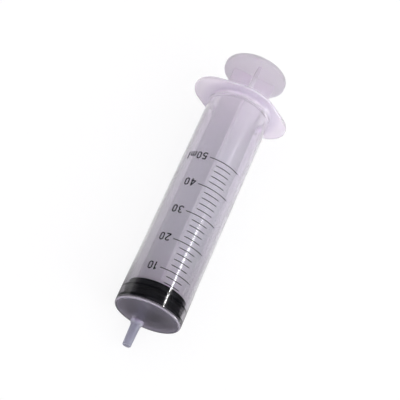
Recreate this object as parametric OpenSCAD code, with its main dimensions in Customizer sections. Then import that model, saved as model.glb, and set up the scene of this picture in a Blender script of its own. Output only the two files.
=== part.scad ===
// Three-piece syringe with an eccentric slip nozzle, lying along +X.
// The origin is on the barrel's axis, in the plane of the flange's front face.
// +X points to the nozzle, +Z up through the middle of the printed scale, and the wings lie along Y.

/* [Barrel] */
// Bore of the barrel
bore_d = 29; // [26:0.1:32]
// Wall of the barrel's tube
barrel_wall = 1.25; // [1:0.05:1.8]
// Length from the flange's front face to the barrel's front face
barrel_l = 118; // [112:0.5:135]
// Thickness of the closed front wall
front_wall = 1.5; // [1.2:0.1:2.5]
// Rounding of the barrel's front edge
front_edge_r = 1; // [0.4:0.1:1.1]
// Distance from the flange's front face to the middle of the stop bead in the bore
bead_x = 3; // [2:0.1:6]
// Radius of the stop bead's round section
bead_r = 1.2; // [0.6:0.1:1.5]
// Height of the stop bead above the bore
bead_h = 0.25; // [0.15:0.05:0.4]
// Length and width of the chamfer at the bore's rear mouth
mouth_chamfer = 0.5; // [0.3:0.1:0.8]

/* [Flange] */
// Length over the flange's two wings
flange_l = 50.7; // [46:0.1:56]
// Width of the flange across the barrel
flange_w = 39; // [36.6:0.1:40]
// Radius of the rounded wing tips
wing_tip_r = 13.3; // [10:0.1:14]
// Thickness of the flange
flange_t = 1.5; // [1:0.1:2.5]
// Fillet between the barrel and the flange
flange_fillet = 1.2; // [0.6:0.1:1.6]

/* [Nozzle] */
// Distance from the barrel's axis to the nozzle's axis
nozzle_offset = 10.3; // [9.5:0.1:10.6]
// Length of the nozzle in front of the barrel
nozzle_l = 12.9; // [11:0.1:15]
// Outside diameter of the nozzle's tip
nozzle_tip_d = 4; // [3.9:0.01:4.1]
// Growth of the cone's diameter for each length along it
luer_taper = 0.06; // [0.05:0.005:0.07]
// Diameter of the collar at the nozzle's root
collar_d = 6; // [5.2:0.1:6.6]
// Length of the collar
collar_l = 1.6; // [1:0.1:3]
// Length of the shoulder from the collar down to the cone
shoulder_l = 0.9; // [0.5:0.1:1.5]
// Chamfer round the nozzle's tip
tip_chamfer = 0.35; // [0.2:0.05:0.5]
// Diameter of the fluid passage
lumen_d = 2.2; // [1.6:0.1:2.6]

/* [Gasket] */
// Length of the gasket
gasket_l = 9.5; // [9:0.1:13]
// Length of the front cone ahead of the front rib
gasket_nose_l = 0.4; // [0.3:0.1:0.8]
// Radial step from the front rib down to the flat front
gasket_nose_step = 0.7; // [0.4:0.1:1.5]
// Width of the front sealing rib
front_rib_w = 1.1; // [0.8:0.1:1.6]
// Width of the rear sealing rib
rear_rib_w = 0.9; // [0.6:0.1:1.3]
// Distance from the gasket's front to the middle of the rear rib
rear_rib_x = 6; // [5.2:0.1:6.4]
// Depth of the groove between the ribs
groove_depth = 1.2; // [0.6:0.1:1.6]
// Depth of the step behind the rear rib
skirt_depth = 0.7; // [0.4:0.1:1.2]
// Length of each slope beside a rib
rib_slope_l = 0.6; // [0.3:0.1:0.8]

/* [Plunger rod] */
// Distance from the flange's rear face to the thumb disc's front face
thumb_gap = 19; // [10:0.1:25]
// Diameter of the thumb disc
thumb_d = 31.8; // [28:0.1:36]
// Thickness of the thumb disc
thumb_t = 2.4; // [1.6:0.1:3]
// Rounding of the thumb disc's edges
thumb_edge_r = 0.5; // [0.2:0.1:0.7]
// Height of the grip rings on the thumb disc's rear face
ring_h = 0.3; // [0.2:0.05:0.5]
// Width of each grip ring
ring_w = 0.8; // [0.5:0.1:1.2]
// Diameter of the inner grip ring
ring_first_d = 12; // [8:0.5:14]
// Distance between one grip ring and the next
ring_pitch = 3; // [2:0.1:3.6]
// Number of grip rings
ring_count = 3; // [1:1:4]
// Thickness of the four fins
fin_t = 1.7; // [1.2:0.1:2.4]
// Angle of the first fin from the middle of the scale, about the barrel's axis
fin_turn = 13; // [0:1:89]
// Diameter of the disc that backs the gasket
backing_d = 25.4; // [22:0.2:27]
// Thickness of the disc that backs the gasket
backing_t = 1.5; // [1:0.1:3]
// Diameter of the neck inside the gasket
neck_d = 8.4; // [6:0.1:9.6]
// Length of the neck
neck_l = 2.4; // [1.8:0.1:2.8]
// Diameter of the snap head
head_d = 12.4; // [11:0.1:14]
// Length of the snap head
head_l = 3; // [2:0.1:3.4]
// Diameter of the snap head's front end
head_front_d = 8; // [6:0.1:10]

/* [Printed scale] */
// Plunger travel that moves ten units of volume
ten_travel = 15.14; // [14.5:0.01:16]
// Distance from the barrel's front face to the zero mark
zero_setback = 2.19; // [1.6:0.01:3]
// Angle that a long mark covers round the barrel
long_mark_angle = 59.2; // [50:0.1:64]
// Angle that a short mark covers round the barrel
short_mark_angle = 29.4; // [20:0.1:36]
// Width of the printed marks
mark_w = 0.4; // [0.2:0.01:0.5]
// Height of the printed numbers
digit_h = 4; // [3:0.1:5]
// Width of the strokes in the printed numbers
stroke_w = 0.6; // [0.3:0.01:0.7]
// Gap between a long mark and its number
number_gap = 1.35; // [0.5:0.05:2]
// Gap between one character and the next
letter_gap = 0.75; // [0.4:0.05:1.2]
// Thickness of the ink
ink_t = 0.06; // [0.05:0.01:0.1]

/* [Fits] */
// Radial clearance of the gasket's ribs in the bore
rib_clearance = 0.05; // [0.02:0.01:0.1]
// Radial clearance between the fins and the bore
fin_clearance = 3.5; // [2:0.1:5]
// Clearance all round the snap head and the neck in the gasket
socket_clearance = 0.05; // [0.02:0.01:0.1]
// Gap in front of the gasket when the plunger is fully in
front_gap = 0.2; // [0.1:0.05:0.3]
// Gap between the backing disc and the gasket's rear face
backing_gap = 0.1; // [0.05:0.05:0.2]

/* [Hidden] */

$fn = 96;
// Overrun of every cut past the face that it opens
overrun = 1;

bore_r = bore_d / 2;
barrel_r = bore_r + barrel_wall;
bore_l = barrel_l - front_wall;
flange_back = -flange_t;

// The flange is a middle circle and two tip circles, joined by their common tangents
flange_mid_r = flange_w / 2;
wing_tip_y = flange_l / 2 - wing_tip_r;
tangent_angle = acos((flange_mid_r - wing_tip_r) / wing_tip_y);

gasket_front = bore_l - front_gap;
gasket_back = gasket_front - gasket_l;
rib_r = bore_r - rib_clearance;

backing_front = gasket_back - backing_gap;
backing_back = backing_front - backing_t;
thumb_front = flange_back - thumb_gap;
fin_half_w = bore_r - fin_clearance;

fins_per_rod = 4;
tens = [10, 20, 30, 40, 50];
shorts_per_ten = 4;
zero_x = barrel_l - zero_setback;
short_step = ten_travel / (shorts_per_ten + 1);

// Each character as [name, width, bars, arcs], all in shares of the number's height.
// A bar is [start, end] and an arc is [centre, radius, first angle, last angle], along the stroke's middle.
character_shares = [
    ["0", 0.55, [[[0.075, 0.27], [0.075, 0.73]], [[0.475, 0.27], [0.475, 0.73]]],
        [[[0.275, 0.725], 0.20, 0, 180], [[0.275, 0.275], 0.20, 180, 360]]],
    ["1", 0.36, [[[0.26, 0], [0.26, 1]], [[0.26, 0.93], [0.06, 0.75]]], []],
    ["2", 0.55, [[[0.44, 0.61], [0.08, 0.12]], [[0, 0.075], [0.55, 0.075]]],
        [[[0.275, 0.725], 0.20, -36, 165]]],
    ["3", 0.56, [], [[[0.255, 0.7375], 0.1875, -90, 160], [[0.255, 0.3125], 0.2375, -160, 90]]],
    ["4", 0.58, [[[0.42, 0], [0.42, 1]], [[0, 0.28], [0.58, 0.28]], [[0.40, 0.96], [0.05, 0.30]]], []],
    ["5", 0.55, [[[0.08, 0.925], [0.52, 0.925]], [[0.15, 0.95], [0.09, 0.48]]],
        [[[0.26, 0.3125], 0.2375, -160, 142]]],
    ["m", 0.80, [[[0.075, 0], [0.075, 0.66]], [[0.40, 0], [0.40, 0.43]], [[0.725, 0], [0.725, 0.43]]],
        [[[0.2375, 0.4225], 0.1625, 0, 180], [[0.5625, 0.4225], 0.1625, 0, 180]]],
    ["l", 0.15, [[[0.075, 0], [0.075, 1]]], []]
];

function character(name) = [for (c = character_shares) if (c[0] == name) c][0];
function character_w(name) = character(name)[1] * digit_h;
function text_w(word, count) =
    count <= 0 ? 0 : character_w(word[count - 1]) + letter_gap + text_w(word, count - 1);
function mark_x(volume) = zero_x - ten_travel * volume / tens[0];
function arc_angle(length) = length / barrel_r * 180 / PI;

// Stands a revolved profile's axis along +X
module along_x() {
    rotate([0, 90, 0]) children();
}

// Revolves a profile drawn as [radius, place along X]
module turned() {
    along_x() rotate_extrude() children();
}

// The corner left outside a quarter circle, to round an inside or an outside edge
module corner_waste(r, reach) {
    difference() {
        square([r + reach, r + reach]);
        circle(r = r);
    }
}

module barrel_profile() {
    difference() {
        square([barrel_r, barrel_l]);
        translate([barrel_r - front_edge_r, barrel_l - front_edge_r])
            corner_waste(front_edge_r, overrun);
    }
    translate([0, flange_back]) square([barrel_r + flange_fillet, flange_t]);
    difference() {
        square([barrel_r + flange_fillet, flange_fillet]);
        translate([barrel_r + flange_fillet, flange_fillet]) circle(r = flange_fillet);
    }
}

module bore_profile() {
    difference() {
        translate([0, flange_back - overrun]) square([bore_r, bore_l - flange_back + overrun]);
        translate([bore_r + bead_r - bead_h, bead_x]) circle(r = bead_r);
    }
    polygon([
        [0, flange_back - overrun],
        [bore_r + mouth_chamfer + overrun, flange_back - overrun],
        [bore_r, flange_back + mouth_chamfer],
        [0, flange_back + mouth_chamfer]
    ]);
}

module flange_outline() {
    tangent_mid = flange_mid_r * [sin(tangent_angle), cos(tangent_angle)];
    tangent_tip = [wing_tip_r * sin(tangent_angle), wing_tip_y + wing_tip_r * cos(tangent_angle)];
    circle(r = flange_mid_r);
    for (side = [-1, 1]) {
        translate([0, side * wing_tip_y]) circle(r = wing_tip_r);
        polygon([
            [-tangent_mid[0], 0], [-tangent_mid[0], side * tangent_mid[1]],
            [-tangent_tip[0], side * tangent_tip[1]], [tangent_tip[0], side * tangent_tip[1]],
            [tangent_mid[0], side * tangent_mid[1]], [tangent_mid[0], 0]
        ]);
    }
}

module nozzle_profile() {
    cone_start = collar_l + shoulder_l;
    tip_r = nozzle_tip_d / 2;
    cone_r = tip_r + luer_taper / 2 * (nozzle_l - cone_start);
    polygon([
        [0, -front_wall / 2], [collar_d / 2, -front_wall / 2], [collar_d / 2, collar_l],
        [cone_r, cone_start], [tip_r + luer_taper / 2 * tip_chamfer, nozzle_l - tip_chamfer],
        [tip_r - tip_chamfer, nozzle_l], [0, nozzle_l]
    ]);
}

module at_nozzle() {
    translate([barrel_l, 0, -nozzle_offset]) children();
}

module barrel() {
    color([0.78, 0.76, 0.82, 0.6])
    difference() {
        union() {
            turned() barrel_profile();
            translate([flange_back, 0, 0]) along_x() linear_extrude(flange_t) flange_outline();
            at_nozzle() turned() nozzle_profile();
        }
        turned() bore_profile();
        at_nozzle() translate([-front_wall - overrun, 0, 0])
            along_x() cylinder(r = lumen_d / 2, h = front_wall + nozzle_l + 2 * overrun);
    }
}

// The neck and snap head, grown all round by a clearance
module snap_profile(clearance) {
    neck_top = neck_l + backing_gap;
    translate([0, -overrun]) square([neck_d / 2 + clearance, neck_top + overrun]);
    polygon([
        [0, neck_top - clearance], [head_d / 2 + clearance, neck_top - clearance],
        [head_d / 2 + clearance, neck_top + head_l / 3],
        [head_front_d / 2 + clearance, neck_top + head_l + clearance],
        [0, neck_top + head_l + clearance]
    ]);
}

module gasket_profile() {
    nose_r = rib_r - gasket_nose_step;
    groove_r = rib_r - groove_depth;
    skirt_r = rib_r - skirt_depth;
    rib_back = gasket_nose_l + front_rib_w;
    rear_rib_front = rear_rib_x - rear_rib_w / 2;
    rear_rib_back = rear_rib_x + rear_rib_w / 2;
    polygon([
        [0, 0], [nose_r, 0], [rib_r, -gasket_nose_l], [rib_r, -rib_back],
        [groove_r, -rib_back - rib_slope_l], [groove_r, -rear_rib_front + rib_slope_l],
        [rib_r, -rear_rib_front], [rib_r, -rear_rib_back],
        [skirt_r, -rear_rib_back - rib_slope_l], [skirt_r, -gasket_l], [0, -gasket_l]
    ]);
}

module gasket() {
    color([0.06, 0.06, 0.07])
    difference() {
        translate([gasket_front, 0, 0]) turned() gasket_profile();
        translate([backing_front, 0, 0]) turned() snap_profile(socket_clearance);
    }
}

module thumb_disc_profile() {
    straight_r = thumb_d / 2 - thumb_edge_r;
    difference() {
        square([thumb_d / 2, thumb_t]);
        translate([straight_r, thumb_t - thumb_edge_r]) corner_waste(thumb_edge_r, overrun);
        mirror([0, 1]) translate([straight_r, -thumb_edge_r]) corner_waste(thumb_edge_r, overrun);
    }
}

module grip_rings() {
    for (i = [0 : ring_count - 1])
        translate([ring_first_d / 2 + i * ring_pitch, -ring_h]) square([ring_w, ring_h + thumb_t / 2]);
}

module fins() {
    fin_l = backing_back - thumb_front;
    for (turn = [0, 90])
        rotate([fin_turn + turn, 0, 0])
            translate([thumb_front - thumb_t / 2, -fin_t / 2, -fin_half_w])
                cube([fin_l + thumb_t / 2 + backing_t / 2, fin_t, 2 * fin_half_w]);
}

module plunger_rod() {
    color([0.84, 0.82, 0.88])
    union() {
        translate([thumb_front - thumb_t, 0, 0]) turned() {
            thumb_disc_profile();
            grip_rings();
        }
        fins();
        translate([backing_back, 0, 0]) turned() square([backing_d / 2, backing_t]);
        translate([backing_front, 0, 0]) turned() snap_profile(0);
    }
}

// A printed line round the barrel, centred on +Z
module mark(volume, angle) {
    translate([mark_x(volume) - mark_w / 2, 0, 0])
        along_x() rotate([0, 0, 180 - angle / 2])
            rotate_extrude(angle = angle) translate([barrel_r, 0]) square([ink_t, mark_w]);
}

module long_marks() {
    color("black")
    for (volume = concat(0, tens)) mark(volume, long_mark_angle);
}

module short_marks() {
    color("black")
    for (ten = tens, i = [1 : shorts_per_ten])
        mark(ten - i * tens[0] / (shorts_per_ten + 1), short_mark_angle);
}

module bar_stroke(from, to) {
    run = to - from;
    translate(from) rotate(atan2(run[1], run[0]))
        translate([0, -stroke_w / 2]) square([norm(run), stroke_w]);
}

// A ring cut by a fan of corners that reach past its outer edge
module arc_stroke(centre, r, first, last) {
    outer = r + stroke_w / 2;
    steps = ceil((last - first) / 60);
    turn = (last - first) / steps;
    translate(centre) intersection() {
        difference() {
            circle(r = outer);
            circle(r = r - stroke_w / 2);
        }
        polygon(concat(
            [[0, 0]],
            [for (i = [0 : steps]) 2 * outer * [cos(first + i * turn), sin(first + i * turn)]]
        ));
    }
}

module character_outline(name) {
    shares = character(name);
    for (b = shares[2]) bar_stroke(b[0] * digit_h, b[1] * digit_h);
    for (a = shares[3]) arc_stroke(a[0] * digit_h, a[1] * digit_h, a[2], a[3]);
}

// A word wrapped round the barrel, its characters' tops towards the nozzle
module printed(word, x, first_angle) {
    for (i = [0 : len(word) - 1]) {
        middle = text_w(word, i) + character_w(word[i]) / 2;
        intersection() {
            translate([x, 0, 0]) rotate([first_angle + arc_angle(middle), 0, 0])
                translate([0, 0, barrel_r - barrel_wall])
                    linear_extrude(2 * barrel_wall) rotate(-90)
                        translate([-character_w(word[i]) / 2, -digit_h / 2]) character_outline(word[i]);
            translate([x - digit_h, 0, 0]) turned() translate([barrel_r, 0]) square([ink_t, 2 * digit_h]);
        }
    }
}

number_angle = long_mark_angle / 2 + arc_angle(number_gap);

module number(volume) {
    color("black") printed(str(volume), mark_x(volume), number_angle);
}

module volume_unit() {
    last = tens[len(tens) - 1];
    word = str(last);
    color("black")
    printed("ml", mark_x(last), number_angle + arc_angle(text_w(word, len(word))));
}

barrel();
gasket();
plunger_rod();
long_marks();
short_marks();
number(tens[0]);  // number_10
number(tens[1]);  // number_20
number(tens[2]);  // number_30
number(tens[3]);  // number_40
number(tens[4]);  // number_50
volume_unit();
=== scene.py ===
from math import acos, asin, atan2, cos, degrees, pi, radians, sin, sqrt, tan

import bmesh
import bpy
from mathutils import Matrix, Vector


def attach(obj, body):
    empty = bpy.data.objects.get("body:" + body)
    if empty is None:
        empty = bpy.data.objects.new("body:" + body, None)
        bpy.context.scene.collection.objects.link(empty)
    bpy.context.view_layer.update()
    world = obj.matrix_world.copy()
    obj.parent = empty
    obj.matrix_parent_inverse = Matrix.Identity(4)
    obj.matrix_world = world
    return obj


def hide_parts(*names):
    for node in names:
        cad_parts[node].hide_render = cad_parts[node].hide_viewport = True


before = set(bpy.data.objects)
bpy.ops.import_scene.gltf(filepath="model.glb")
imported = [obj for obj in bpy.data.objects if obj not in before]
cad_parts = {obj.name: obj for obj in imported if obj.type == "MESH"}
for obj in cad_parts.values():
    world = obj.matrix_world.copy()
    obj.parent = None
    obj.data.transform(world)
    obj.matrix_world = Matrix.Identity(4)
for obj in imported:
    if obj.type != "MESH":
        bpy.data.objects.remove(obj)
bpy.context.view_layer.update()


# ---- Camera ----
# Above and ahead of the nozzle, where the photograph was taken from. The place, the turn and the lens come
# from the printed marks and the barrel's outline, so the picture's lines run as the photograph's do.
camera_place = (0.303048, -0.135950, 0.452974)
camera_turn = (18.7749, -26.4566, 113.9221)
camera_lens = 103.12
camera_sensor = 36
camera_near = 0.01

camera = bpy.data.objects.new("camera", bpy.data.cameras.new("camera"))
camera.location = camera_place
camera.rotation_euler = [radians(a) for a in camera_turn]
camera.data.sensor_width = camera_sensor
camera.data.lens = camera_lens
camera.data.clip_start = camera_near
bpy.context.scene.collection.objects.link(camera)
bpy.context.scene.camera = camera


# ---- Barrel ----
# One moulding of clear polypropylene, injected at the middle of the closed front wall: tube, front wall,
# off-centre slip nozzle, winged flange and the stop bead inside the mouth. It is glassy along the tube, and
# milky where the section is thick.
BARREL_COLUMNS = 192
bore_radius = 0.0145
tube_radius = 0.01575
tube_front = 0.118
bore_front = 0.1165
front_rounding = 0.001
bore_rounding = 0.0003
tube_stations = (0.02, 0.045, 0.07, 0.095)
bead_place, bead_radius, bead_height = 0.003, 0.0012, 0.00025
mouth_chamfer = 0.0005
flange_back = -0.0015
flange_radius = 0.0195
wing_radius, wing_place = 0.0133, 0.01205
flange_edge = 0.0004
flange_fillet = 0.0012
nozzle_drop = -0.0103
nozzle_length = 0.0129
nozzle_tip_radius = 0.002
nozzle_root_radius = 0.002312
cone_slope, cone_station = 0.03, 0.006
collar_radius, collar_length, shoulder_length = 0.003, 0.0016, 0.0009
collar_fillet, collar_rounding = 0.0003, 0.0004
shoulder_fillet, shoulder_shift = 0.0006, 0.0002
tip_rounding, tip_taper = 0.00035, 0.00001
lumen_radius, lumen_station = 0.0011, 0.004
lumen_chamfer, lumen_flare = 0.00008, 0.00005

# Rows beside a rounding, which keep the flat next to it flat, and rows spread over a wide flat
support = 0.00012
flat_shares = (0.3, 0.6, 0.85, 1)
front_wall_shares = (0.25, 0.5, 0.75, 0.92, 1)

column_angles = [2 * pi * i / BARREL_COLUMNS for i in range(BARREL_COLUMNS)]


def flange_reach(angle):
    """Distance from the barrel's axis to the flange's outline, at an angle from +Z."""
    from_wing = asin(min(1.0, abs(cos(angle))))
    tangent = acos((flange_radius - wing_radius) / wing_place)
    line_end = atan2(wing_radius * sin(tangent), wing_place + wing_radius * cos(tangent))
    if from_wing >= tangent:
        return flange_radius
    if from_wing >= line_end:
        return flange_radius / cos(tangent - from_wing)
    return wing_place * cos(from_wing) + sqrt(wing_radius ** 2 - (wing_place * sin(from_wing)) ** 2)


def ring(x, radius, angles=column_angles, drop=0.0):
    """One closed row of points round an axis along X."""
    return [Vector((x, -radius * sin(a), drop + radius * cos(a))) for a in angles]


def rings(section, angles=column_angles, drop=0.0):
    """A row of points for each point (x, radius) of a section."""
    return [ring(x, radius, angles, drop) for x, radius in section]


def flange_row(x, inset):
    """The flange's outline at x, its reach changed by the inset."""
    reaches = [(flange_reach(a) + inset, a) for a in column_angles]
    return [Vector((x, -reach * sin(a), reach * cos(a))) for reach, a in reaches]


def rounding(centre_x, centre_r, r, first, last, steps=5):
    """Points (x, radius) along an arc in the section, the angles in degrees from +X towards the outside."""
    turns = [radians(first + (last - first) * i / steps) for i in range(steps + 1)]
    return [(centre_x + r * cos(t), centre_r + r * sin(t)) for t in turns]


def between(row_a, row_b, shares):
    """Rows on the way from one row to another."""
    return [[a.lerp(b, s) for a, b in zip(row_a, row_b)] for s in shares]


def smoothed(mesh, sharp=35):
    """Smooth shading, with edges past the angle left sharp."""
    mesh.shade_smooth()
    mesh.set_sharp_from_angle(angle=radians(sharp))
    return mesh


def skin_mesh(name, rows, closed=False, sharp=35):
    """A mesh over rows of points: closed into a ring of rows, or capped at both ends."""
    count = len(rows[0])
    faces = []
    for i in range(len(rows) if closed else len(rows) - 1):
        a, b = i * count, (i + 1) % len(rows) * count
        faces += [(a + j, a + (j + 1) % count, b + (j + 1) % count, b + j) for j in range(count)]
    if not closed:
        faces += [tuple(reversed(range(count))), tuple(range((len(rows) - 1) * count, len(rows) * count))]
    mesh = bpy.data.meshes.new(name)
    mesh.from_pydata([p for row in rows for p in row], [], faces)
    bm = bmesh.new()
    bm.from_mesh(mesh)
    bmesh.ops.recalc_face_normals(bm, faces=bm.faces)
    bm.to_mesh(mesh)
    bm.free()
    return smoothed(mesh, sharp)


def add_piece(name, mesh, material, body, slot, *nodes):
    """A piece that rides on its body and takes the place of its CAD nodes."""
    piece = bpy.data.objects.new(name, mesh)
    bpy.context.scene.collection.objects.link(piece)
    mesh.materials.clear()
    mesh.materials.append(material)
    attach(piece, body)
    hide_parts(*nodes)


# Outside, from the mouth forward
mouth = ring(flange_back, bore_radius + mouth_chamfer)
mouth_edge = ring(flange_back, bore_radius + mouth_chamfer + support)
tube_rows = [mouth, mouth_edge]
tube_rows += between(mouth_edge, flange_row(flange_back, -flange_edge - support), flat_shares)
for edge_x, first, last in ((flange_back + flange_edge, 180, 90), (-flange_edge, 90, 0)):
    for x, inset in rounding(edge_x, -flange_edge, flange_edge, first, last):
        tube_rows.append(flange_row(x, inset))
fillet_edge = ring(0, tube_radius + flange_fillet + support)
tube_rows += between(flange_row(0, -flange_edge - support), fillet_edge, (0, *flat_shares))
outside = rounding(flange_fillet, tube_radius + flange_fillet, flange_fillet, 180, 270, 8)
outside += [(x, tube_radius) for x in (
    flange_fillet + support, *tube_stations, tube_front - front_rounding - support)]
outside += rounding(tube_front - front_rounding, tube_radius - front_rounding, front_rounding, 90, 0, 8)
outside += [(tube_front, tube_radius - front_rounding - support)]
tube_rows += rings(outside)

# The nozzle's columns spread out from its own axis, each towards the tube's column beside it
nozzle_angles = [atan2(-p.y, p.z - nozzle_drop) for p in tube_rows[-1]]
collar_foot = ring(tube_front, collar_radius + collar_fillet + support, nozzle_angles, nozzle_drop)
tube_rows += between(tube_rows[-1], collar_foot, front_wall_shares)
collar_end = tube_front + collar_length
cone_start = collar_end + shoulder_length
tip = tube_front + nozzle_length
nozzle_section = rounding(tube_front + collar_fillet, collar_radius + collar_fillet, collar_fillet, 180, 270)
nozzle_section += rounding(
    collar_end - collar_rounding, collar_radius - collar_rounding, collar_rounding, 90, 40, 4)
nozzle_section += rounding(
    cone_start + shoulder_shift, nozzle_root_radius + shoulder_fillet, shoulder_fillet, 220, 268, 4)
nozzle_section += [
    (tip - cone_station, nozzle_tip_radius + cone_slope * cone_station),
    (tip - tip_rounding - support, nozzle_tip_radius + tip_taper)]
nozzle_section += rounding(tip - tip_rounding, nozzle_tip_radius - tip_rounding, tip_rounding, 88, 0)
nozzle_section += [
    (tip, lumen_radius + support), (tip - lumen_chamfer, lumen_radius), (tip - lumen_station, lumen_radius),
    (tube_front, lumen_radius), (bore_front + support, lumen_radius),
    (bore_front, lumen_radius + lumen_flare)]
tube_rows += rings(nozzle_section, nozzle_angles, nozzle_drop)

# Inside, from the front wall back to the mouth
lumen_mouth = ring(bore_front, lumen_radius + support, nozzle_angles, nozzle_drop)
bore_foot = ring(bore_front, bore_radius - bore_rounding - support)
tube_rows += between(lumen_mouth, bore_foot, (0, *flat_shares))
bead_half = sqrt(bead_radius ** 2 - (bead_radius - bead_height) ** 2)
bead_angle = degrees(atan2(bead_half, bead_radius - bead_height))
bore_section = rounding(bore_front - bore_rounding, bore_radius - bore_rounding, bore_rounding, 0, 90, 4)
bore_section += [(x, bore_radius) for x in (
    bore_front - bore_rounding - support, *reversed(tube_stations), bead_place + bead_half + support)]
bore_section += rounding(
    bead_place, bore_radius + bead_radius - bead_height, bead_radius, 270 + bead_angle, 270 - bead_angle, 8)
bore_section += [(x, bore_radius) for x in (
    bead_place - bead_half - support, flange_back + mouth_chamfer + support, flange_back + mouth_chamfer)]
tube_rows += rings(bore_section)


def feed(tree, socket, value):
    """Set a socket to a value, or link another node's output to it."""
    if isinstance(value, bpy.types.NodeSocket):
        tree.links.new(value, socket)
    else:
        socket.default_value = value


def fill(tree, node, **inputs):
    """Set a node's inputs, each by its name with underscores for spaces."""
    for name, value in inputs.items():
        feed(tree, node.inputs[name.replace("_", " ")], value)
    return node


def add_node(tree, kind, **inputs):
    return fill(tree, tree.nodes.new(kind), **inputs)


def new_material(name):
    """A new material with its tree, its shader and the piece's own coordinates."""
    material = bpy.data.materials.new(name)
    material.use_nodes = True
    tree = material.node_tree
    own_place = tree.nodes.new("ShaderNodeTexCoord").outputs["Object"]
    return material, tree, tree.nodes["Principled BSDF"], own_place


def in_range(tree, share, low, high):
    """A share from 0 to 1, brought between two values."""
    return add_node(tree, "ShaderNodeMapRange", Value=share, To_Min=low, To_Max=high).outputs["Result"]


def noise_range(tree, coordinates, scale, low, high, stretch=(1, 1, 1)):
    """Soft noise on the piece's own coordinates, its usual 0.3 to 0.7 brought to another range."""
    mapping = add_node(tree, "ShaderNodeMapping", Vector=coordinates, Scale=stretch)
    noise = add_node(tree, "ShaderNodeTexNoise", Vector=mapping.outputs["Vector"], Scale=scale, Detail=3.0)
    to_range = add_node(
        tree, "ShaderNodeMapRange", Value=noise.outputs["Fac"], From_Min=0.3, From_Max=0.7,
        To_Min=low, To_Max=high)
    return to_range.outputs["Result"]


def bump_from(tree, height, distance, strength=1.0):
    bump = add_node(tree, "ShaderNodeBump", Height=height, Strength=strength, Distance=distance)
    return bump.outputs["Normal"]


def maths(tree, operation, a, b):
    """One sum, product or difference of two values. A difference stops at zero."""
    node = tree.nodes.new("ShaderNodeMath")
    node.operation = operation
    node.use_clamp = operation == "SUBTRACT"
    feed(tree, node.inputs[0], a)
    feed(tree, node.inputs[1], b)
    return node.outputs[0]


def total(tree, a, b):
    return maths(tree, "ADD", a, b)


def product(tree, a, b):
    return maths(tree, "MULTIPLY", a, b)


def less(tree, a, b):
    return maths(tree, "SUBTRACT", a, b)


def mix_colours(tree, blend, factor, first, second):
    mix = tree.nodes.new("ShaderNodeMix")
    mix.data_type = "RGBA"
    mix.blend_type = blend
    colour_a, colour_b, mixed = mix.inputs[6], mix.inputs[7], mix.outputs[2]
    feed(tree, mix.inputs["Factor"], factor)
    feed(tree, colour_a, first)
    feed(tree, colour_b, second)
    return mixed


def colour_between(tree, factor, first, second):
    return mix_colours(tree, "MIX", factor, (*first, 1), (*second, 1))


def tinted(tree, colour, tint):
    return mix_colours(tree, "MULTIPLY", 1, colour, tint)


def band_along_x(tree, coordinates, *stops):
    """A value that follows X in straight steps between the stops (x, value), x rising."""
    split = add_node(tree, "ShaderNodeSeparateXYZ", Vector=coordinates)
    level = stops[0][1]
    for (x0, v0), (x1, v1) in zip(stops, stops[1:]):
        step = add_node(
            tree, "ShaderNodeMapRange", Value=split.outputs["X"], From_Min=x0, From_Max=x1,
            To_Min=0, To_Max=v1 - v0)
        level = total(tree, step.outputs["Result"], level)
    return level


def from_axis(tree, coordinates, *stops):
    """A value that follows the distance from the X axis in straight steps between the stops."""
    flat = add_node(tree, "ShaderNodeMapping", Vector=coordinates, Scale=(0, 1, 1))
    length = add_node(tree, "ShaderNodeVectorMath", Vector=flat.outputs["Vector"])
    length.operation = "LENGTH"
    along = add_node(tree, "ShaderNodeCombineXYZ", X=length.outputs["Value"])
    return band_along_x(tree, along.outputs["Vector"], *stops)


def shader_between(tree, share, first, second):
    mix = add_node(tree, "ShaderNodeMixShader", Fac=share)
    tree.links.new(first, mix.inputs[1])
    tree.links.new(second, mix.inputs[2])
    return mix.outputs["Shader"]


plastic_index = 1.49
coat_roughness = 0.12
face_roughness = 0.3
tube_coat, face_coat = 0.6, 0.05
ripple_height = 0.0000008
wall_shade = (0.97, 0.96, 0.97, 1)

barrel_plastic, tree, shader, own_place = new_material("clear_polypropylene")
fill(tree, shader, IOR=plastic_index, Coat_Roughness=coat_roughness)
fill(tree, shader, Subsurface_Weight=1.0, Subsurface_Radius=(1.0, 0.95, 1.0), Subsurface_Scale=0.003)

# Clear share: milky in flange and nozzle, clearest round the gasket. The front wall is a little cloudier
# towards its rim and in its rounded edge.
clear_stops = (
    (-0.0015, 0.5), (0.0002, 0.6), (0.003, 0.905), (0.02, 0.925), (0.05, 0.94), (0.09, 0.98),
    (0.106, 0.999), (0.1182, 0.999), (0.1192, 0.6), (0.131, 0.7))
clearness = band_along_x(tree, own_place, *clear_stops)
cloud = noise_range(tree, own_place, scale=60, low=0.998, high=1.0, stretch=(0.35, 1, 1))
front = band_along_x(tree, own_place, (0.1172, 0), (0.118, 1))
rim = from_axis(tree, own_place, (0.004, 0), (0.0145, 0.11))
edge_start = band_along_x(tree, own_place, (0.1171, 0), (0.1176, 0.3))
corner = product(tree, edge_start, from_axis(tree, own_place, (0.0148, 0), (0.0152, 1)))
clear_share = less(tree, product(tree, clearness, cloud), product(tree, front, rim))
fill(tree, shader, Transmission_Weight=less(tree, clear_share, corner))

# Satin on the front face inside its rounded edge. The tube is less polished on its rear half.
face_start = band_along_x(tree, own_place, (0.1172, 0), (0.1178, 1))
face = product(tree, face_start, from_axis(tree, own_place, (0.0143, 1), (0.0149, 0)))
smoothness = noise_range(tree, own_place, scale=90, low=0.08, high=0.1)
fill(tree, shader, Roughness=total(tree, in_range(tree, face, 0, face_roughness), smoothness))
polish = band_along_x(tree, own_place, (0.004, 1.0), (0.008, 0.2), (0.055, 0.2), (0.082, 1.0))
fill(tree, shader, Coat_Weight=product(tree, in_range(tree, face, tube_coat, face_coat), polish))

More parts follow.
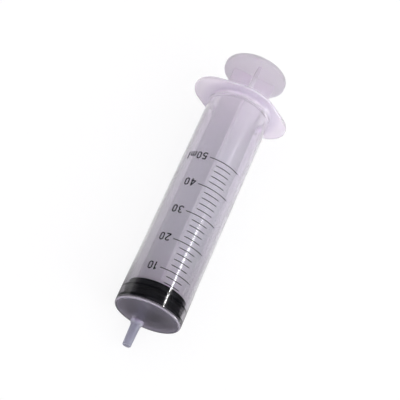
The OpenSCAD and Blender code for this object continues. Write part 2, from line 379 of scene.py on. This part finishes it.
# Tone: colours (x, colour) along the barrel, with faint patches, and painted shade on the middle of the
# flange
tone_start, tone_length = -0.002, 0.133
# Painted shade: the tube darkens towards the gasket. The front wall and nozzle are darker and bluer.
barrel_tones_and_painted_shade = (
    (0.0, (0.95, 0.865, 0.97)), (0.003, (0.96, 0.92, 0.98)), (0.03, (0.95, 0.93, 0.975)),
    (0.085, (0.93, 0.92, 0.95)), (0.117, (0.86, 0.835, 0.865)), (0.1185, (0.68, 0.6, 0.82)),
    (0.1195, (0.5, 0.505, 0.58)))
split = add_node(tree, "ShaderNodeSeparateXYZ", Vector=own_place)
along = add_node(
    tree, "ShaderNodeMapRange", Value=split.outputs["X"],
    From_Min=tone_start, From_Max=tone_start + tone_length)
ramp = add_node(tree, "ShaderNodeValToRGB", Fac=along.outputs["Result"])
tones = ramp.color_ramp.elements
for x, colour in barrel_tones_and_painted_shade:
    tones.new((x - tone_start) / tone_length).color = (*colour, 1)
tones[0].color = tones[1].color
tones[-1].color = tones[-2].color
patch_share = noise_range(tree, own_place, scale=35, low=0.85, high=1)
patches = colour_between(tree, patch_share, (0.93, 0.915, 0.93), (1, 1, 1))
# Painted shade: the flange's front face is darker and greyer near the tube
flange_front = band_along_x(tree, own_place, (0.0003, 1), (0.0012, 0))
flange_shade_share = product(tree, flange_front, from_axis(tree, own_place, (0.018, 1), (0.021, 0)))
flange_painted_shade = colour_between(tree, flange_shade_share, (1, 1, 1), (0.84, 0.865, 0.87))
tone = tinted(tree, ramp.outputs["Color"], patches)
ripple = noise_range(tree, own_place, scale=90, low=0, high=1, stretch=(0.25, 1, 1))
fill(tree, shader, Base_Color=tinted(tree, tone, flange_painted_shade))
fill(tree, shader, Normal=bump_from(tree, ripple, ripple_height))

# Light that reaches the plunger passes through the wall
through = add_node(tree, "ShaderNodeBsdfTransparent", Color=wall_shade)
shadow_ray = tree.nodes.new("ShaderNodeLightPath").outputs["Is Shadow Ray"]
wall = shader_between(tree, shadow_ray, shader.outputs["BSDF"], through.outputs["BSDF"])
fill(tree, tree.nodes["Material Output"], Surface=wall)

barrel_mesh = skin_mesh("clear_barrel", tube_rows, closed=True)
add_piece("clear_barrel", barrel_mesh, barrel_plastic, "barrel_body", "barrel_plastic", "barrel")


# ---- Gasket ----
# Black rubber stopper, compression moulded in one piece and lightly oiled. Two ribs are squeezed against the
# bore, and a socket in its rear holds the plunger's snap head.
GASKET_COLUMNS = 128
gasket_front, gasket_back = 0.1163, 0.1068
gasket_pole = 0.0002
front_station, back_station = 0.006, 0.009
rib_radius = bore_radius + 0.00002
rib_crown, flank_share = 0.00012, 0.55
nose_radius, groove_radius, skirt_radius = 0.01375, 0.01325, 0.01375
nose_flat, nose_edge, nose_fall = 0.0006, 0.0002, 0.00005
groove_fillet, skirt_fillet = 0.0001, 0.00008
skirt_rounding = 0.0003
grain_height, grain_strength = 0.00002, 0.6

# Measured back from the gasket's front
front_rib = (0.0004, 0.0015)
groove = (0.0022, 0.0027, 0.0044, 0.0049)
rear_rib = (0.00555, 0.00645)
skirt = (0.00705, 0.0075)
front_rib_slope, rear_rib_slope = 0.0003, 0.0006

# Measured forward from the gasket's rear
socket_chamfer = 0.0002
socket_neck_depth, socket_head_depth, socket_depth = 0.00235, 0.0034, 0.00545
socket_neck_radius, socket_head_radius, socket_top_radius = 0.00425, 0.00625, 0.00405

gasket_angles = [2 * pi * i / GASKET_COLUMNS for i in range(GASKET_COLUMNS)]


def rib(place, foot_front, foot_back, slope):
    """Section of a sealing rib flattened against the bore, from its front flank to its rear flank."""
    front, back = gasket_front - place[0], gasket_front - place[1]
    edge, shoulder = rib_radius - rib_crown / 4, rib_radius - rib_crown
    return [
        (front + slope * flank_share, (foot_front + rib_radius) / 2),
        (front + rib_crown, shoulder), (front, edge), (front - rib_crown, rib_radius),
        (back + rib_crown, rib_radius), (back, edge), (back - rib_crown, shoulder),
        (back - slope * flank_share, (foot_back + rib_radius) / 2)]


gasket_section = [
    (gasket_front, gasket_pole), (gasket_front, front_station), (gasket_front, nose_radius - nose_flat),
    (gasket_front - nose_fall, nose_radius - nose_edge)]
gasket_section += rib(front_rib, nose_radius, groove_radius, front_rib_slope)
gasket_section += [
    (gasket_front - groove[0], groove_radius + groove_fillet), (gasket_front - groove[1], groove_radius),
    (gasket_front - groove[2], groove_radius), (gasket_front - groove[3], groove_radius + groove_fillet)]
gasket_section += rib(rear_rib, groove_radius, skirt_radius, rear_rib_slope)
gasket_section += [
    (gasket_front - skirt[0], skirt_radius + skirt_fillet), (gasket_front - skirt[1], skirt_radius),
    (gasket_back + skirt_rounding, skirt_radius)]
gasket_section += rounding(
    gasket_back + skirt_rounding, skirt_radius - skirt_rounding, skirt_rounding, 90, 180, 4)
gasket_section += [
    (gasket_back, back_station), (gasket_back, socket_neck_radius + socket_chamfer),
    (gasket_back + socket_chamfer, socket_neck_radius),
    (gasket_back + socket_neck_depth, socket_neck_radius),
    (gasket_back + socket_neck_depth, socket_head_radius),
    (gasket_back + socket_head_depth, socket_head_radius),
    (gasket_back + socket_depth, socket_top_radius), (gasket_back + socket_depth, gasket_pole)]

rubber, tree, shader, own_place = new_material("black_rubber")
soot = noise_range(tree, own_place, scale=240, low=0, high=1)
grain = noise_range(tree, own_place, scale=1400, low=0, high=1)
fill(tree, shader, IOR=1.5, Specular_IOR_Level=0.0)
fill(tree, shader, Base_Color=colour_between(tree, soot, (0.003, 0.0035, 0.0045), (0.006, 0.0063, 0.0075)))
fill(tree, shader, Roughness=noise_range(tree, own_place, scale=300, low=0.38, high=0.55))
fill(tree, shader, Normal=bump_from(tree, grain, grain_height, grain_strength))

gasket_mesh = skin_mesh("rubber_gasket", rings(gasket_section, gasket_angles), sharp=40)
add_piece("rubber_gasket", gasket_mesh, rubber, "gasket_body", "gasket_rubber", "gasket")


# ---- Plunger rod ----
# One moulding of the same plastic, left milky: four crossed fins with a thumb disc at the rear and, at the
# front, the disc that backs the gasket, the neck and the snap head.
ROD_COLUMNS = 96
rod_pole, disc_station = 0.0003, 0.008
thumb_front, thumb_back = -0.0205, -0.0229
thumb_radius, thumb_edge = 0.0159, 0.0005
grip_height, grip_width, grip_first, grip_pitch, grip_count = 0.0003, 0.0008, 0.006, 0.003, 3
grip_rounding, grip_slope, grip_foot, grip_margin = 0.0002, 0.00005, 0.00015, 0.0004
fin_half, fin_reach, fin_turn = 0.00085, 0.011, 13
fin_edge, fin_root = 0.0003, 0.0008
fin_stations = (-0.01, 0.0, 0.02, 0.04, 0.06, 0.08, 0.1)
sunk_in_thumb, sunk_in_backing = 0.0009, 0.0007
backing_back, backing_front, backing_radius = 0.1052, 0.1067, 0.0127
backing_edge, backing_margin = 0.0003, 0.0004
neck_radius, neck_front, neck_fillet = 0.0042, 0.1092, 0.0003
head_radius, head_top_radius, head_front = 0.0062, 0.004, 0.1122
head_edge, head_band, head_fall = 0.0002, 0.001, 0.0003
frost_height, frost_strength = 0.00003, 0.5

rod_angles = [2 * pi * i / ROD_COLUMNS for i in range(ROD_COLUMNS)]
disc_section = [(thumb_back, rod_pole), (thumb_back, grip_first - grip_margin)]
grip_centre = thumb_back - grip_height + grip_rounding
for i in range(grip_count):
    start = grip_first + i * grip_pitch
    end = start + grip_width
    disc_section += [(thumb_back, start - grip_foot), (thumb_back - grip_slope, start)]
    disc_section += rounding(grip_centre, start + grip_rounding, grip_rounding, 260, 180, 3)
    disc_section += rounding(grip_centre, end - grip_rounding, grip_rounding, 180, 100, 3)
    disc_section += [(thumb_back - grip_slope, end), (thumb_back, end + grip_foot)]
disc_section += [(thumb_back, thumb_radius - thumb_edge - support)]
disc_section += rounding(thumb_back + thumb_edge, thumb_radius - thumb_edge, thumb_edge, 180, 90, 6)
disc_section += rounding(thumb_front - thumb_edge, thumb_radius - thumb_edge, thumb_edge, 90, 0, 6)
disc_section += [
    (thumb_front, thumb_radius - thumb_edge - support), (thumb_front, disc_station), (thumb_front, rod_pole)]

backing_section = [(backing_back, rod_pole), (backing_back, backing_radius - backing_margin)]
backing_section += rounding(
    backing_back + backing_edge, backing_radius - backing_edge, backing_edge, 180, 90, 4)
backing_section += rounding(
    backing_front - backing_edge, backing_radius - backing_edge, backing_edge, 90, 0, 4)
backing_section += [
    (backing_front, disc_station), (backing_front, neck_radius + neck_fillet),
    (backing_front + neck_fillet, neck_radius), (neck_front, neck_radius),
    (neck_front, head_radius - head_edge), (neck_front + head_edge, head_radius),
    (neck_front + head_band, head_radius), (head_front - head_fall, head_top_radius + head_edge),
    (head_front, head_top_radius - head_edge), (head_front, rod_pole)]


def fin_outline():
    """Cross-shaped section of the fins: rounded outer edges, small fillets where they meet."""
    edge_turns = (0, pi / 6, pi / 3, pi / 2)
    root_turns = (1.5 * pi, 1.375 * pi, 1.25 * pi, 1.125 * pi, pi)
    tip_reach, tip_half, root_centre = fin_reach - fin_edge, fin_half - fin_edge, fin_half + fin_root
    corner = [(tip_reach + fin_edge * cos(t), tip_half + fin_edge * sin(t)) for t in edge_turns]
    root = [(root_centre + fin_root * cos(t), root_centre + fin_root * sin(t)) for t in root_turns]
    points = []
    for quarter in range(4):
        turn = radians(fin_turn) - quarter * pi / 2
        along, side = (-sin(turn), cos(turn)), (cos(turn), sin(turn))
        for a, b in corner + root + [(b, a) for a, b in reversed(corner)]:
            points.append((a * along[0] + b * side[0], a * along[1] + b * side[1]))
    return points


def joined_as_one(name, meshes):
    """The union of closed meshes, as one closed skin."""
    shapes = [bpy.data.objects.new(name + "_shape", m) for m in meshes]
    for shape in shapes:
        bpy.context.scene.collection.objects.link(shape)
    for shape in shapes[1:]:
        union = shapes[0].modifiers.new("union", "BOOLEAN")
        union.operation = "UNION"
        union.solver = "EXACT"
        union.object = shape
    bpy.context.view_layer.update()
    evaluated = shapes[0].evaluated_get(bpy.context.evaluated_depsgraph_get())
    mesh = bpy.data.meshes.new_from_object(evaluated)
    mesh.name = name
    for shape in shapes:
        bpy.data.objects.remove(shape)
    return smoothed(mesh)


fin_ends = (thumb_front - sunk_in_thumb, backing_back + sunk_in_backing)
fin_rows = [
    [Vector((x, y, z)) for y, z in fin_outline()] for x in (fin_ends[0], *fin_stations, fin_ends[1])]
rod_meshes = [
    skin_mesh("fins", fin_rows),
    skin_mesh("thumb_disc", rings(disc_section, rod_angles)),
    skin_mesh("backing_disc", rings(backing_section, rod_angles))]

rod_plastic, tree, shader, own_place = new_material("milky_polypropylene")
fill(tree, shader, IOR=plastic_index, Specular_IOR_Level=0.1)
fill(tree, shader, Subsurface_Weight=1.0, Subsurface_Radius=(1.0, 0.9, 1.0), Subsurface_Scale=0.05)

# More light goes through the thumb disc and the fins beside it, and through the fins' outer edges
edge_share = from_axis(tree, own_place, (0.0085, 0), (0.0107, 0.13))
thin_edges = product(tree, band_along_x(tree, own_place, (-0.0199, 0), (-0.0195, 1)), edge_share)
thin = band_along_x(tree, own_place, (-0.014, 0.6), (-0.004, 0.35))
fill(tree, shader, Transmission_Weight=total(tree, thin, thin_edges))

# Tone of each channel at the thumb disc and along the fins, the fins lighter than the disc, with painted
# shade darkening the fins towards the gasket
rod_tones_and_painted_shade = (("Red", 0.95, 1.015), ("Green", 0.92, 1.05), ("Blue", 0.94, 1.03))
cream = noise_range(tree, own_place, scale=40, low=0, high=1, stretch=(0.4, 1, 1))
milk = colour_between(tree, cream, (0.89, 0.84, 0.92), (0.94, 0.89, 0.97))
depth = tree.nodes.new("ShaderNodeCombineColor")
for channel, disc, fins in rod_tones_and_painted_shade:
    tone = band_along_x(
        tree, own_place, (-0.016, disc), (-0.004, 1.0), (0.03, fins), (0.085, fins), (0.1, 0.965))
    tree.links.new(tone, depth.inputs[channel])
fill(tree, shader, Base_Color=tinted(tree, milk, depth.outputs["Color"]))
frost = noise_range(tree, own_place, scale=500, low=0, high=1)
fill(tree, shader, Roughness=noise_range(tree, own_place, scale=120, low=0.68, high=0.78))
fill(tree, shader, Normal=bump_from(tree, frost, frost_height, frost_strength))

add_piece(
    "plunger", joined_as_one("plunger", rod_meshes), rod_plastic, "rod_body", "rod_plastic", "plunger_rod")


# ---- Graduation marks ----
# Black ink, printed on the tube in one turn of the screen: a long mark for every ten millilitres from zero,
# and four short marks between each pair.
ink_thickness = 0.00005
mark_width = 0.0004
mark_facets = 48
zero_place, ten_step = 0.11581, 0.01514
long_sweep, short_sweep = 59.2, 29.4


def marks_tree():
    """Arcs round the tube, repeated in groups along X."""
    tree = bpy.data.node_groups.new("printed_marks", "GeometryNodeTree")
    for in_out in ("INPUT", "OUTPUT"):
        tree.interface.new_socket("Geometry", in_out=in_out, socket_type="NodeSocketGeometry")
    for name, kind in (
            ("Groups", "Int"), ("Marks In Group", "Int"), ("First Mark", "Float"), ("Group Step", "Float"),
            ("Mark Step", "Float"), ("Sweep", "Float"), ("Tube Radius", "Float"), ("Ink Thickness", "Float"),
            ("Mark Width", "Float"), ("Ink", "Material")):
        tree.interface.new_socket(name, in_out="INPUT", socket_type="NodeSocket" + kind)
    given = tree.nodes.new("NodeGroupInput").outputs

    def along_x(length):
        return add_node(tree, "ShaderNodeCombineXYZ", X=length).outputs["Vector"]

    groups = add_node(
        tree, "GeometryNodeMeshLine", Count=given["Groups"], Start_Location=along_x(given["First Mark"]),
        Offset=along_x(given["Group Step"]))
    marks = add_node(
        tree, "GeometryNodeMeshLine", Count=given["Marks In Group"], Offset=along_x(given["Mark Step"]))

    # The arc's middle line lies half a thickness outside the tube and is centred on +Z
    half_thickness = product(tree, given["Ink Thickness"], 0.5)
    arc = add_node(
        tree, "GeometryNodeCurveArc", Resolution=mark_facets, Sweep_Angle=given["Sweep"],
        Radius=total(tree, given["Tube Radius"], half_thickness),
        Start_Angle=product(tree, given["Sweep"], -0.5))
    turn = add_node(
        tree, "GeometryNodeTransform", Geometry=arc.outputs["Curve"], Rotation=(0, -pi / 2, 0))
    section = add_node(
        tree, "GeometryNodeCurvePrimitiveQuadrilateral", Width=given["Mark Width"],
        Height=given["Ink Thickness"])
    sweep = add_node(
        tree, "GeometryNodeCurveToMesh", Curve=turn.outputs["Geometry"],
        Profile_Curve=section.outputs["Curve"], Fill_Caps=True)

    one_group = add_node(
        tree, "GeometryNodeInstanceOnPoints", Points=marks.outputs["Mesh"], Instance=sweep.outputs["Mesh"])
    all_groups = add_node(
        tree, "GeometryNodeInstanceOnPoints", Points=groups.outputs["Mesh"],
        Instance=one_group.outputs["Instances"])
    real = add_node(tree, "GeometryNodeRealizeInstances", Geometry=all_groups.outputs["Instances"])
    inked = add_node(
        tree, "GeometryNodeSetMaterial", Geometry=real.outputs["Geometry"], Material=given["Ink"])
    add_node(tree, "NodeGroupOutput", Geometry=inked.outputs["Geometry"])
    return tree


# The ink shines less on the rear half of the tube, as the plastic does
ink, tree, shader, own_place = new_material("black_ink")
pigment = noise_range(tree, own_place, scale=900, low=0, high=1)
fill(tree, shader, Specular_IOR_Level=0.1, Coat_Roughness=coat_roughness)
fill(tree, shader, Base_Color=colour_between(tree, pigment, (0.012, 0.012, 0.015), (0.03, 0.029, 0.033)))
fill(tree, shader, Roughness=noise_range(tree, own_place, scale=1500, low=0.4, high=0.6))
fill(tree, shader, Coat_Weight=band_along_x(tree, own_place, (0.055, 0.12), (0.082, 0.6)))

printed = marks_tree()
for name, node, groups, marks, first, step, sweep in (
        ("printed_long_marks", "long_marks", 6, 1, zero_place, 0.0, long_sweep),
        ("printed_short_marks", "short_marks", 5, 4, zero_place - ten_step / 5, -ten_step / 5, short_sweep)):
    holder = bpy.data.objects.new(name + "_source", bpy.data.meshes.new(name + "_source"))
    bpy.context.scene.collection.objects.link(holder)
    modifier = holder.modifiers.new("marks", "NODES")
    modifier.node_group = printed
    wanted = {
        "Groups": groups, "Marks In Group": marks, "First Mark": first, "Group Step": -ten_step,
        "Mark Step": step, "Sweep": radians(sweep), "Tube Radius": tube_radius,
        "Ink Thickness": ink_thickness, "Mark Width": mark_width, "Ink": ink}
    for socket in printed.interface.items_tree:
        if socket.in_out == "INPUT" and socket.name in wanted:
            modifier[socket.identifier] = wanted[socket.name]
    bpy.context.view_layer.update()
    evaluated = holder.evaluated_get(bpy.context.evaluated_depsgraph_get())
    mesh = bpy.data.meshes.new_from_object(evaluated)
    mesh.name = name
    holder.modifiers.remove(modifier)
    bpy.data.objects.remove(holder)
    add_piece(name, smoothed(mesh), ink, "barrel_body", "ink", node)


# ---- Printed numbers ----
# The same ink, printed in the same turn: the numbers from 10 to 50 and the unit, read with the nozzle
# upwards.
for node in ("number_10", "number_20", "number_30", "number_40", "number_50", "volume_unit"):
    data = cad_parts[node].data
    data.materials.clear()
    data.materials.append(ink)


# ---- Floor ----
# Plain pale board, tilted so that the flange's edge and the barrel's front edge both rest on it. It renders
# white and keeps a soft shadow.
floor_tilt = 1.82
floor_size = 4.0
floor_touch_x, floor_touch_z = -0.0008, -0.01952
floor_slope = tan(radians(floor_tilt))

corners = [(a * floor_size, b * floor_size) for a, b in ((-1, -1), (1, -1), (1, 1), (-1, 1))]
floor_mesh = bpy.data.meshes.new("floor")
floor_mesh.from_pydata(
    [(x, y, floor_touch_z + (x - floor_touch_x) * floor_slope) for x, y in corners], [], [(0, 1, 2, 3)])
floor = bpy.data.objects.new("floor", floor_mesh)
bpy.context.scene.collection.objects.link(floor)

pale, tree, shader, own_place = new_material("pale_board")
board_share = noise_range(tree, own_place, scale=3, low=0, high=1)
fill(tree, shader, Roughness=0.9, Specular_IOR_Level=0.1)
fill(tree, shader, Base_Color=colour_between(tree, board_share, (0.78, 0.775, 0.785), (0.82, 0.815, 0.825)))

# Painted reflection: in a mirror the board glows instead of showing its lit colour, dimmer away from the
# barrel and towards its front
beside = from_axis(tree, own_place, (0.03, 1.0), (0.16, 0.04))
ahead = band_along_x(tree, own_place, (0.085, 1.0), (0.106, 0.15))
painted_reflection_glow = add_node(tree, "ShaderNodeEmission", Color=(1, 1, 1, 1), Strength=product(tree, beside, ahead))

# Painted light and shade: through the plastic the board glows instead, darker towards the nozzle and lighter
# towards +Y
across = add_node(tree, "ShaderNodeMapping", Vector=own_place, Rotation=(0, 0, -pi / 2))
lengthways = band_along_x(
    tree, own_place, (0.0, 0.72), (0.03, 0.64), (0.1, 0.48), (0.118, 0.46), (0.126, 0.03), (0.14, 0.03),
    (0.165, 0.6))
sideways = band_along_x(tree, across.outputs["Vector"], (-0.02, 0.66), (0.0, 0.95), (0.025, 1.2))
painted_through_glow = add_node(
    tree, "ShaderNodeEmission", Color=(1, 0.965, 1.035, 1), Strength=product(tree, lengthways, sideways))
white = add_node(tree, "ShaderNodeEmission", Color=(1, 1, 1, 1), Strength=1.0)


def direct_rays(tree):
    """Rays that see a surface in a mirror, through plastic or from the camera, before any soft bounce."""
    ray = tree.nodes.new("ShaderNodeLightPath").outputs
    through = less(tree, ray["Is Transmission Ray"], ray["Diffuse Depth"])
    off_surface = less(tree, ray["Is Glossy Ray"], ray["Is Transmission Ray"])
    mirrored = less(tree, off_surface, ray["Diffuse Depth"])
    return mirrored, through, ray["Is Camera Ray"]


surface = shader.outputs["BSDF"]
for seen, other, amount in zip(direct_rays(tree), (painted_reflection_glow, painted_through_glow, white), (0.98, 0.95, 0.85)):
    surface = shader_between(tree, in_range(tree, seen, 0, amount), surface, other.outputs["Emission"])
fill(tree, tree.nodes["Material Output"], Surface=surface)
floor_mesh.materials.append(pale)


# ---- Light ----
# Two large soft lamps that nothing mirrors, the right one stronger than the left. A narrow lamp high up at
# the rear gives the streak along the tube, and one low on the right is seen only in reflections.
barrel_middle = (0.055, 0, 0)
softbox_size = (0.5, 0.5)
right_place, right_power, right_colour = (0.12, 0.55, 0.35), 1.95, (0.91, 0.97, 1)
left_place, left_power, left_colour = (0.0, -0.5, 0.45), 0.68, (1, 0.93, 0.98)
streak_place, streak_aim = (-0.25, 0.285, 0.87), (0.1, 0, 0.0157)
streak_size, streak_power = (0.235, 0.05), 0.62
glint_place, glint_aim = (0.3, 0.75, 0.12), (0, 0, 0)
glint_size, glint_power = (0.45, 0.3), 5.0


def area_lamp(name, place, aim, size, power, colour=(1, 1, 1), glossy=True):
    data = bpy.data.lights.new(name, "AREA")
    data.shape = "RECTANGLE"
    data.size, data.size_y = size
    data.energy = power
    data.color = colour
    lamp = bpy.data.objects.new(name, data)
    lamp.location = place
    facing = (Vector(place) - Vector(aim)).normalized()
    along = Vector((0, 1, 0)).cross(facing).normalized()
    lamp.rotation_euler = Matrix((along, facing.cross(along), facing)).transposed().to_euler()
    lamp.visible_glossy = glossy
    lamp.visible_transmission = glossy
    lamp.visible_camera = False
    bpy.context.scene.collection.objects.link(lamp)
    return lamp


area_lamp("right_softbox", right_place, barrel_middle, softbox_size, right_power, right_colour, glossy=False)
area_lamp("left_softbox", left_place, barrel_middle, softbox_size, left_power, left_colour, glossy=False)
streak = area_lamp("streak_lamp", streak_place, streak_aim, streak_size, streak_power)
streak.data.shape = "ELLIPSE"
glint = area_lamp("glint_lamp", glint_place, glint_aim, glint_size, glint_power)
glint.visible_diffuse = glint.visible_transmission = False

# The room in a mirror, through plastic and from the camera
room_levels = ((0.015, 0.015, 0.018), (0.1, 0.1, 0.11), (1, 1, 1))
world = bpy.data.worlds.new("studio")
bpy.context.scene.world = world
world.use_nodes = True
tree = world.node_tree
room = fill(tree, tree.nodes["Background"], Color=(1.03, 1.01, 1.05, 1))
surface = room.outputs["Background"]
for seen, colour in zip(direct_rays(tree), room_levels):
    level = add_node(tree, "ShaderNodeBackground", Color=(*colour, 1))
    surface = shader_between(tree, seen, surface, level.outputs["Background"])
fill(tree, tree.nodes["World Output"], Surface=surface)
bpy.context.scene.view_settings.view_transform = "Standard"
